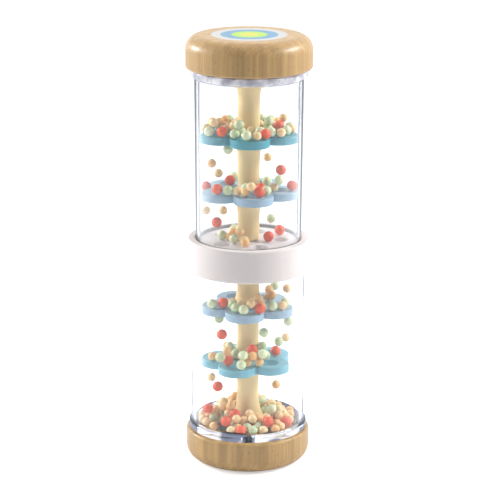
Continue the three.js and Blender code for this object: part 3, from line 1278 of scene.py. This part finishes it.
@dataclass
class Drift:
    """A drift of beads on one floor, as they settle: each new one takes the lowest free place."""

    body: str
    chamber: Chamber
    holes: list[np.ndarray]
    hole_radius: float
    petals: list[np.ndarray]
    petal_radius: float
    heap: float
    accents: tuple[Accent, ...]
    mix: dict[BeadKind, float] = field(default_factory=dict)
    count: int = 0
    crest: float = 0.0
    foot: float = 20.0
    lean: tuple[float, float] = (0.0, 0.0)
    pull: float = 0.06
    seed: int = 1
    cell: float = 0.5
    gap: float = 0.06
    around: int = 12
    bands: int = 8
    balls: list[Ball] = field(default_factory=list)

    @property
    def name(self) -> str:
        """The drift's plain name, without the body's prefix."""
        return self.body.removeprefix("drift_")

    def travel(self) -> float:
        """How far the drift's joint lifts it, in millimetres."""
        joint = next(j for j in frame["joints"] if j["child"] == self.body)
        return max(joint["range_m"]) / MM

    def lay_out(self) -> None:
        """Lays a square grid of places over the floor and marks those with material under them."""
        reach = self.chamber.bore
        line = np.arange(-reach, reach + self.cell, self.cell)
        x, y = np.meshgrid(line, line, indexing="ij")
        self.x, self.y, self.row = x.ravel(), y.ravel(), len(line)
        self.supported = np.ones_like(self.x, bool)
        if self.petals:
            on = [self.away(petal) < self.petal_radius - 0.3 for petal in self.petals]
            self.supported &= np.any(on, axis=0)
        for hole in self.holes:
            self.supported &= self.away(hole) >= self.hole_radius + 0.2

    def away(self, place: np.ndarray) -> np.ndarray:
        """How far each place of the grid is from a flat place."""
        return np.hypot(self.x - place[0], self.y - place[1])

    def free_of(self, wells: list[Well], height: np.ndarray, radius: float) -> np.ndarray:
        """Where a bead of the drift, all the way up its travel, meets no falling bead's way."""
        free = np.ones_like(self.x, bool)
        for well in wells:
            under = height - radius < well.high + 0.3
            over = height + radius + self.travel() > well.low - 0.3
            near = self.away((well.x, well.y)) < radius + well.radius + 0.35
            free &= ~(under & over & near)
        return free

    def lowest(self, radius: float) -> np.ndarray:
        """The lowest height at each place where a bead overlaps no other.

        A bead already there blocks heights within the half chord that the two radii leave at
        that distance. A blocked height moves to the top of what blocks it until none does.
        """
        height = np.full_like(self.x, self.chamber.floor + radius + 0.1)
        if not self.balls:
            return height
        centres = np.array([b.centre for b in self.balls])
        reach = np.array([b.radius for b in self.balls]) + radius + self.gap
        apart = (self.x - centres[:, :1]) ** 2 + (self.y - centres[:, 1:2]) ** 2
        half = np.sqrt(np.clip(reach[:, None] ** 2 - apart, 0, None))
        low, high = centres[:, 2:] - half, centres[:, 2:] + half
        for _ in range(12):
            blocked = (height > low + 1e-6) & (height < high - 1e-6)
            if not blocked.any():
                break
            height = np.maximum(height, np.where(blocked, high, -np.inf).max(axis=0))
        return height

    def envelope(self) -> np.ndarray:
        """How high the heap may stand: highest at the column, and down to the floor at its foot."""
        reach = self.away((0, 0)) + self.lean[0] * self.x + self.lean[1] * self.y
        share = np.clip((reach - self.foot) / (10.0 - self.foot), 0, 1)
        return self.crest * share

    def settle(self, wells: list[Well], packed: list[Ball]) -> None:
        """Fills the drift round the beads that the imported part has.

        The chosen beads come first, each at the free place nearest to its own. After them each
        bead rolls to the lowest free place, nearer to the front and to the column.

        Args:
            wells: The ways of the falling beads.
            packed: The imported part's own beads of this drift.
        """
        rng = np.random.default_rng(self.seed)
        self.lay_out()
        self.balls = list(packed)
        for accent in self.accents:
            height, allowed = self.allowed(wells, accent.kind.radius)
            wanted = self.chamber.floor + accent.kind.radius + accent.lift
            away = self.away(at_turn(accent.turn, accent.reach))
            perch = height - self.lowest_beside(height)
            cost = away + 0.5 * np.abs(height - wanted) + 0.8 * np.clip(perch, 0, 1.5)
            cost[~allowed | (away > 4.0)] = np.inf
            self.drop_at(cost, height, accent.kind, rng)
        shares = np.array(list(self.mix.values()), float)
        for _ in range(self.count):
            kind = list(self.mix)[int(rng.choice(len(shares), p=shares / shares.sum()))]
            height, allowed = self.allowed(wells, kind.radius)
            lift = height - self.chamber.floor - kind.radius
            rests = height <= self.lowest_beside(height) + 0.12
            cost = lift - 0.8 * self.contacts(height, kind.radius) + rng.uniform(0, 1.2, len(lift))
            cost += self.pull * (self.y + self.away((0, 0)))
            cost[~(allowed & rests & (lift <= self.envelope() + 0.2))] = np.inf
            if not self.drop_at(cost, height, kind, rng):
                break
        self.balls = self.balls[len(packed) :]

    def allowed(self, wells: list[Well], radius: float) -> tuple[np.ndarray, np.ndarray]:
        """The height that a new bead would take at each place, and where it may lie.

        Args:
            wells: The ways of the falling beads.
            radius: The new bead's radius.

        Returns:
            The heights, and True where the bead keeps clear of everything on its travel.
        """
        height = self.lowest(radius)
        allowed = self.supported & (height + radius < self.chamber.floor + self.heap)
        allowed &= self.free_of(wells, height, radius)
        reach = self.away((0, 0))[allowed]
        allowed[allowed] = self.chamber.clear(reach, height[allowed], radius, self.travel())
        return height, allowed

    def drop_at(
        self, cost: np.ndarray, height: np.ndarray, kind: BeadKind, rng: np.random.Generator
    ) -> bool:
        """Adds a bead at the place of least cost, unless nothing may lie anywhere."""
        place = int(np.argmin(cost))
        if not np.isfinite(cost[place]):
            return False
        centre = np.array([self.x[place], self.y[place], height[place]])
        self.balls.append(Ball(kind, centre, kind.radius, float(rng.uniform())))
        return True

    def lowest_beside(self, height: np.ndarray) -> np.ndarray:
        """The lowest height among each place's eight neighbours, where a hole counts as lowest."""
        row = self.row
        open_height = np.where(self.supported, height, -np.inf).reshape(row, row)
        ringed = np.pad(open_height, 1, constant_values=np.inf)
        steps = [(i, j) for i in range(3) for j in range(3) if (i, j) != (1, 1)]
        return np.min([ringed[i : i + row, j : j + row] for i, j in steps], axis=0).ravel()

    def contacts(self, height: np.ndarray, radius: float) -> np.ndarray:
        """How many beads touch a bead at each place, up to three."""
        if not self.balls:
            return np.zeros_like(self.x)
        centres = np.array([b.centre for b in self.balls])
        reach = np.array([b.radius for b in self.balls])[:, None] + radius
        across = (self.x - centres[:, :1]) ** 2 + (self.y - centres[:, 1:2]) ** 2
        apart = np.sqrt(across + (height - centres[:, 2:]) ** 2)
        return np.minimum((apart < reach + 0.5).sum(axis=0), 3)

    def build(self) -> list[bpy.types.Object]:
        """Makes one piece for each kind of bead in the drift."""
        pieces = []
        for kind in BeadKind:
            balls = [b for b in self.balls if b.kind is kind]
            if not balls:
                continue
            name = f"{self.name}_drift_{kind.name.lower()}"
            surface = joined([b.surface(self.around, self.bands) for b in balls])
            pieces.append(make_piece(name, surface, kind.finish, kind.slot, body=self.body))
        LOG.info("drift %s: %d beads", self.name, len(self.balls))
        return pieces


# ---------------------------------------------------------------- studio


@dataclass(frozen=True)
class Softbox:
    """A lamp with a cloth front: where it stands, its size and its power."""

    name: str
    place: tuple[float, float, float]
    width: float
    height: float
    power: float
    mirrored: bool = True

    def build(self, aim: Vector) -> None:
        """Stands the lamp in its place and points it at the object.

        Args:
            aim: The point that it faces.
        """
        light = bpy.data.lights.new(self.name, "AREA")
        light.shape = "RECTANGLE"
        light.size, light.size_y = self.width, self.height
        light.energy = self.power
        lamp = bpy.data.objects.new(self.name, light)
        lamp.location = Vector(self.place)
        lamp.rotation_euler = (aim - lamp.location).to_track_quat("-Z", "Y").to_euler()
        lamp.visible_glossy = self.mirrored
        lamp.visible_transmission = self.mirrored
        bpy.context.scene.collection.objects.link(lamp)


@dataclass
class Studio:
    """A pale table under soft lamps, and the camera."""

    camera_place: tuple[float, float, float] = (0.0, -0.9585, 0.3656)
    pitch: float = 15.36
    yaw: float = -0.046
    roll: float = 0.26
    lens: float = 151.56
    floor_colour: str = "f4f5f7"
    floor_mirrored: str = "d3d6da"
    floor_half: float = 1.1
    glow: float = 0.08
    glow_seen: float = 0.4
    glow_through: float = 0.75
    bounces: int = 24
    sky: float = 0.45
    backdrop: float = 1.15
    lamps: tuple[Softbox, ...] = (
        Softbox("left_fill", (-0.72, -0.05, 0.42), 0.50, 0.50, 3.1, mirrored=False),
        Softbox("right_fill", (0.72, -0.02, 0.42), 0.50, 0.50, 2.6, mirrored=False),
        Softbox("top_softbox", (0.05, 0.12, 0.95), 0.70, 0.50, 2.6, mirrored=False),
        Softbox("left_highlight", (-0.66, 0.31, 0.37), 0.18, 0.13, 3.4),
        Softbox("right_highlight", (0.65, 0.06, 0.58), 0.36, 0.16, 4.2),
    )

    def build(self) -> None:
        """Sets up the table, the sky, the lamps and the camera."""
        aim = Vector((0.0, 0.0, 0.1))
        self.floor()
        self.world()
        for lamp in self.lamps:
            lamp.build(aim)
        self.camera()
        scene = bpy.context.scene
        scene.view_settings.view_transform = "Standard"
        for kind in ("transparent_max_bounces", "transmission_bounces", "glossy_bounces"):
            setattr(scene.cycles, kind, self.bounces)
        scene.cycles.max_bounces = self.bounces + 8

    def camera(self) -> None:
        """Stands the camera before the stick, a little above it, looking down."""
        data = bpy.data.cameras.new("camera")
        data.lens = self.lens
        data.clip_start = 0.05
        data.clip_end = 50.0
        camera = bpy.data.objects.new("camera", data)
        bpy.context.scene.collection.objects.link(camera)
        upright = Euler((math.radians(90 - self.pitch), 0.0, math.radians(self.yaw))).to_matrix()
        rolled = upright @ Matrix.Rotation(math.radians(self.roll), 3, "Z")
        camera.matrix_world = Matrix.Translation(self.camera_place) @ rolled.to_4x4()
        bpy.context.scene.camera = camera

    def floor(self) -> None:
        """The pale table top: matte laminate with the faintest mottle."""
        half = self.floor_half
        mesh = bpy.data.meshes.new("table_top")
        corners = [(-half, -half, 0), (half, -half, 0), (half, half, 0), (-half, half, 0)]
        mesh.from_pydata(corners, [], [(0, 1, 2, 3)])
        nodes = Nodes(bpy.data.materials.new("pale_table"))
        mottle = nodes.add("TexNoise", {"Vector": nodes.place, "Scale": 1 / 60.0, "Detail": 3.0})
        tone = nodes.add(
            "Mix", {"Factor": mottle, 6: self.floor_colour, 7: "f7f7f8"}, data_type="RGBA"
        )
        path = nodes.add("LightPath").outputs
        eye = {0: path["Is Camera Ray"], 1: self.glow_seen, 2: self.glow}
        seen = nodes.add("Math", eye, operation="MULTIPLY_ADD")
        through = {0: path["Is Transmission Ray"], 1: self.glow_through, 2: seen}
        mirrored = {"Factor": path["Is Glossy Ray"], 6: tone, 7: self.floor_mirrored}
        laminate = {
            "Base Color": nodes.add("Mix", mirrored, data_type="RGBA"),
            "Roughness": 0.6,
            "Emission Color": "f6f8fc",
            "Emission Strength": nodes.add("Math", through, operation="MULTIPLY_ADD"),
        }
        mesh.materials.append(nodes.close(nodes.add("BsdfPrincipled", laminate)))
        table = bpy.data.objects.new("table_top", mesh)
        bpy.context.scene.collection.objects.link(table)

    def world(self) -> None:
        """A soft sky: bright overhead and behind the stick, dimmer behind the camera."""
        world = bpy.data.worlds.new("soft_sky")
        bpy.context.scene.world = world
        nodes = Nodes(world)
        way = nodes.add("TexCoord").outputs["Generated"]
        depth = nodes.add("SeparateXYZ", {"Vector": way}).outputs["Y"]
        facing = nodes.add(
            "MapRange",
            {"Value": depth, "From Min": -0.9, "From Max": 0.5},
            interpolation_type="SMOOTHSTEP",
        )
        tones = ((0.0, "8f9399"), (0.5, "dfe3e8"), (1.0, "ffffff"))
        tone = nodes.add("ValToRGB", {"Fac": facing}, stops=tones)
        skies = {
            0: nodes.add("LightPath").outputs["Is Diffuse Ray"],
            1: nodes.add("Background", {"Color": "fbfcfd", "Strength": self.backdrop}),
            2: nodes.add("Background", {"Color": tone, "Strength": self.sky}),
        }
        nodes.close(nodes.add("MixShader", skies), "OutputWorld")


# ---------------------------------------------------------------- the rainstick


@dataclass
class Rainstick:
    """The whole toy, put together from its frame."""

    top_rings: tuple[Ring, ...] = (
        Ring(4.6, "c2bd14"),
        Ring(8.4, "98c414"),
        Ring(13.5, "4c86a6"),
        Ring(17.7, "b8b8b6"),
    )
    upper_inner: tuple[float, float] = (23.4, 23.9)
    lower_inner: tuple[float, float] = (25.2, 24.7)

    def caps(self) -> None:
        """Makes the two beech caps, the upper one with its printed rings."""
        top = Beech("printed_beech", rings=self.top_rings, printed_face=Extent.of("top_cap").top)
        TurnedCap("top_cap", top, crown_up=True).build()
        TurnedCap("base_cap", Beech("plain_beech", pith=(52.0, 60.0, 0.0)), crown_up=False).build()

    def tubes(self) -> None:
        """Makes the two clear tubes."""
        # Painted light in the tubes' colour: dark edge reflections on both, dark reflection patches in the lower
        # foot, a painted shade line at the upper seat.
        clear = ClearPlastic("clear_styrene", edge="8488a8", painted_foot_reflection_below=20.5)
        flange = Extent.of("upper_tube").top - ClearTube.flange
        welded = ClearPlastic("welded_styrene", frosted_above=flange - 0.3, seat=Collar.top + 0.1)
        ClearTube("upper_tube", welded, True, foot=25.4, mouth=24.9, wall=1.5).build()
        ClearTube("lower_tube", clear, False, foot=27.0, mouth=26.5, wall=1.8).build()

    def collar(self) -> Collar:
        """Makes the white collar and returns it."""
        white = MouldedPlastic("white_abs", "dad3d1", "d6cecc", roughness=0.4, depth=0.2)
        collar = Collar("collar", white)
        collar.build()
        return collar

    def shelves(self) -> dict[str, FlowerShelf]:
        """Makes the four flower shelves and returns them by level."""
        teal = MouldedPlastic("teal_abs", "3f97a4", "3a909e")
        periwinkle = MouldedPlastic("periwinkle_abs", "94b0c0", "8eaabb")
        turquoise = MouldedPlastic("turquoise_abs", "70afbc", "68a8b6")
        upper = {"petal": 9.2, "reach": 13.9}
        lower = {"petal": 9.1, "reach": 13.1}
        shelves = {
            "shelf_1": FlowerShelf("flower_shelf_1", teal, "shelf_teal", 2, **upper),
            "shelf_2": FlowerShelf("flower_shelf_2", periwinkle, "shelf_periwinkle", 9, **upper),
            "shelf_3": FlowerShelf("flower_shelf_3", periwinkle, "shelf_periwinkle", -7, **lower),
            "shelf_4": FlowerShelf("flower_shelf_4", turquoise, "shelf_turquoise", -21, **lower),
        }
        for shelf in shelves.values():
            shelf.build()
        return shelves

    def column(self) -> None:
        """Makes the six spools: rims up above the collar, and rims down below it."""
        cream = MouldedPlastic("cream_abs", "eed39a", "e8cc90", roughness=0.5)
        for number in range(1, 7):
            ColumnSpool(
                f"column_spool_{number}", cream, rim_up=number <= 3, end_recess=number in (1, 6)
            ).build()

    def screws(self) -> None:
        """Gives the two packed screws their plated steel."""
        steel = ScrewSteel("plated_steel").material()
        for node in ("top_cap_screw", "base_cap_screw"):
            data = frame["nodes"][node].data
            data.materials.clear()
            data.materials.append(steel)

    def packed_beads(self) -> dict[str, list[Ball]]:
        """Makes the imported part's own beads and returns them by body."""
        rng = np.random.default_rng(11)
        made: dict[str, list[Ball]] = {}
        for node in sorted(n for n in frame["nodes"] if "bead" in n):
            bead = PackedBead(node, float(rng.uniform()))
            bead.build()
            made.setdefault(body_of(node), []).append(bead.ball())
        return made

    def wells(self, packed: dict[str, list[Ball]]) -> list[Well]:
        """The upright ways of the falling beads, from their joints' ranges."""
        ways = []
        for joint in frame["joints"]:
            if not joint["child"].startswith("drop_"):
                continue
            made = packed[joint["child"]][0]
            low, high = (value / MM for value in joint["range_m"])
            x, y, z = made.centre
            ways.append(Well(x, y, made.radius, z + low - made.radius, z + high + made.radius))
        return ways

    def drifts(self, collar: Collar, shelves: dict[str, FlowerShelf]) -> list[Drift]:
        """The six drifts, each with its chamber, its heap and its colours."""
        top = {name: Extent.of(shelf.node).top for name, shelf in shelves.items()}
        under = {name: Extent.of(shelf.node).bottom for name, shelf in shelves.items()}
        upper_end = Extent.of("upper_tube").top - 1.7
        lower_end = Extent.of("lower_tube").bottom + 1.7
        coral, green, cream = BeadKind.CORAL, BeadKind.GREEN, BeadKind.CREAM

        def on_shelf(name: str, ceiling: float, flare_up: bool, **heap: object) -> Drift:
            """A drift on a flower shelf, in a chamber whose column flares up or down."""
            shelf = shelves[name]
            bore = min(self.upper_inner if flare_up else self.lower_inner)
            flare = ColumnSpool.end_flare if name == "shelf_1" else ColumnSpool.inner_flare
            return Drift(
                f"drift_{name}",
                Chamber(top[name], ceiling, bore, flare_up, *flare),
                shelf.centres,
                shelf.petal_hole,
                shelf.centres,
                shelf.petal,
                **heap,
            )

        def on_floor(name: str, chamber: Chamber, holes: list[np.ndarray], **heap: object) -> Drift:
            """A drift on a flat floor."""
            return Drift(f"drift_{name}", chamber, holes, collar.passage_radius, [], 0.0, **heap)

        base_room = Chamber(
            lower_end, under["shelf_4"], min(self.lower_inner), False, *ColumnSpool.end_flare
        )
        return [
            on_shelf(
                "shelf_1", upper_end, True, heap=9.4, count=24, crest=4.6, foot=20.5, seed=3,
                mix={green: 6, cream: 5},
                accents=(
                    Accent(cream, -81, 20), Accent(green, -59, 21), Accent(green, -22, 17),
                    Accent(green, -5, 14), Accent(green, 24, 12), Accent(green, 54, 11),
                    Accent(green, -110, 17), Accent(cream, -61, 18), Accent(cream, -103, 11),
                    Accent(cream, -135, 13), Accent(cream, 144, 10), Accent(cream, 80, 20),
                    Accent(cream, 107, 17, 2), Accent(green, -14, 15, 2), Accent(cream, -77, 16, 2),
                    Accent(cream, -127, 13, 2), Accent(cream, -56, 13, 2), Accent(cream, 136, 13, 2),
                    Accent(green, 50, 12, 2),
                ),
            ),
            on_shelf(
                "shelf_2", under["shelf_1"], True, heap=9.4, count=2, crest=3.5, foot=20.0, seed=5,
                mix={green: 5, cream: 4},
                accents=(
                    Accent(coral, 22, 12), Accent(green, -33, 18),
                    Accent(cream, 3, 15), Accent(cream, 61, 13), Accent(green, -7, 10, 2),
                    Accent(green, 69, 15, 2), Accent(cream, 2, 18, 2), Accent(green, -154, 16, 2),
                    Accent(green, 121, 10, 2),
                ),
            ),
            on_floor(
                "collar", Chamber(collar.floor, under["shelf_2"], min(self.upper_inner), True),
                collar.centres, heap=8.2, seed=8,
                accents=(
                    Accent(green, -76, 14), Accent(cream, -74, 9.5), Accent(cream, -10, 10),
                    Accent(cream, -122, 9), Accent(cream, -5, 14), Accent(green, -144, 12, 2),
                    Accent(cream, -30, 9, 2),
                ),
            ),
            on_shelf(
                "shelf_3", collar.ceiling, False, heap=9.4, count=5, crest=3.5, foot=17.5, seed=13,
                lean=(-0.2, -0.1), mix={cream: 6, green: 3},
                accents=(
                    Accent(green, -35, 13), Accent(green, 41, 17), Accent(cream, 26, 14),
                    Accent(cream, 0, 14), Accent(cream, -12, 12, 2), Accent(cream, 36, 10, 2),
                    Accent(cream, 20, 14, 4), Accent(cream, 6, 13, 2), Accent(cream, 115, 11, 2),
                    Accent(cream, 90, 11, 2),
                ),
            ),
            on_shelf(
                "shelf_4", under["shelf_3"], False, heap=9.4, seed=21,
                accents=(
                    Accent(green, -39, 20), Accent(cream, 0, 14), Accent(cream, 14, 13),
                    Accent(green, -14, 14, 2), Accent(cream, -58, 11, 1), Accent(cream, 10, 13, 2),
                    Accent(green, 46, 11, 2), Accent(green, 28, 13, 2), Accent(cream, -137, 15, 2),
                    Accent(cream, -37, 15, 4), Accent(green, -60, 12, 3), Accent(green, 114, 16, 4),
                    Accent(green, 46, 11, 4), Accent(cream, -70, 11, 4), Accent(cream, -52, 19),
                    Accent(green, -24, 12, 2), Accent(cream, -76, 15, 2),
                ),
            ),
            on_floor(
                "base", base_room,
                [], heap=13.2, count=100, crest=8.8, foot=22.0, seed=34,
                mix={cream: 14, green: 3},
                accents=(
                    Accent(cream, -20, 22), Accent(green, 6, 21.5), Accent(cream, 20, 21.5),
                    Accent(cream, -48, 21), Accent(cream, 46, 21.5), Accent(green, -61, 17, 2),
                    Accent(coral, 62, 21, 2), Accent(green, -24, 14, 2), Accent(coral, 73, 15, 4),
                    Accent(coral, -29, 12, 6), Accent(coral, 9, 11.5, 6), Accent(green, -67, 12, 6),
                    Accent(cream, -148, 18, 4), Accent(cream, 117, 15, 6),
                ),
            ),
        ]

    def build(self) -> None:
        """Builds every piece, from the caps to the last bead."""
        self.caps()
        self.tubes()
        collar = self.collar()
        shelves = self.shelves()
        self.column()
        self.screws()
        packed = self.packed_beads()
        wells = self.wells(packed)
        for drift in self.drifts(collar, shelves):
            drift.settle(wells, packed.get(drift.body, []))
            drift.build()


def main() -> None:
    """Sets up the studio and builds the rainstick."""
    logging.basicConfig(level=logging.INFO, format="%(message)s")
    Studio().build()
    Rainstick().build()


if __name__ == "__main__":
    main()
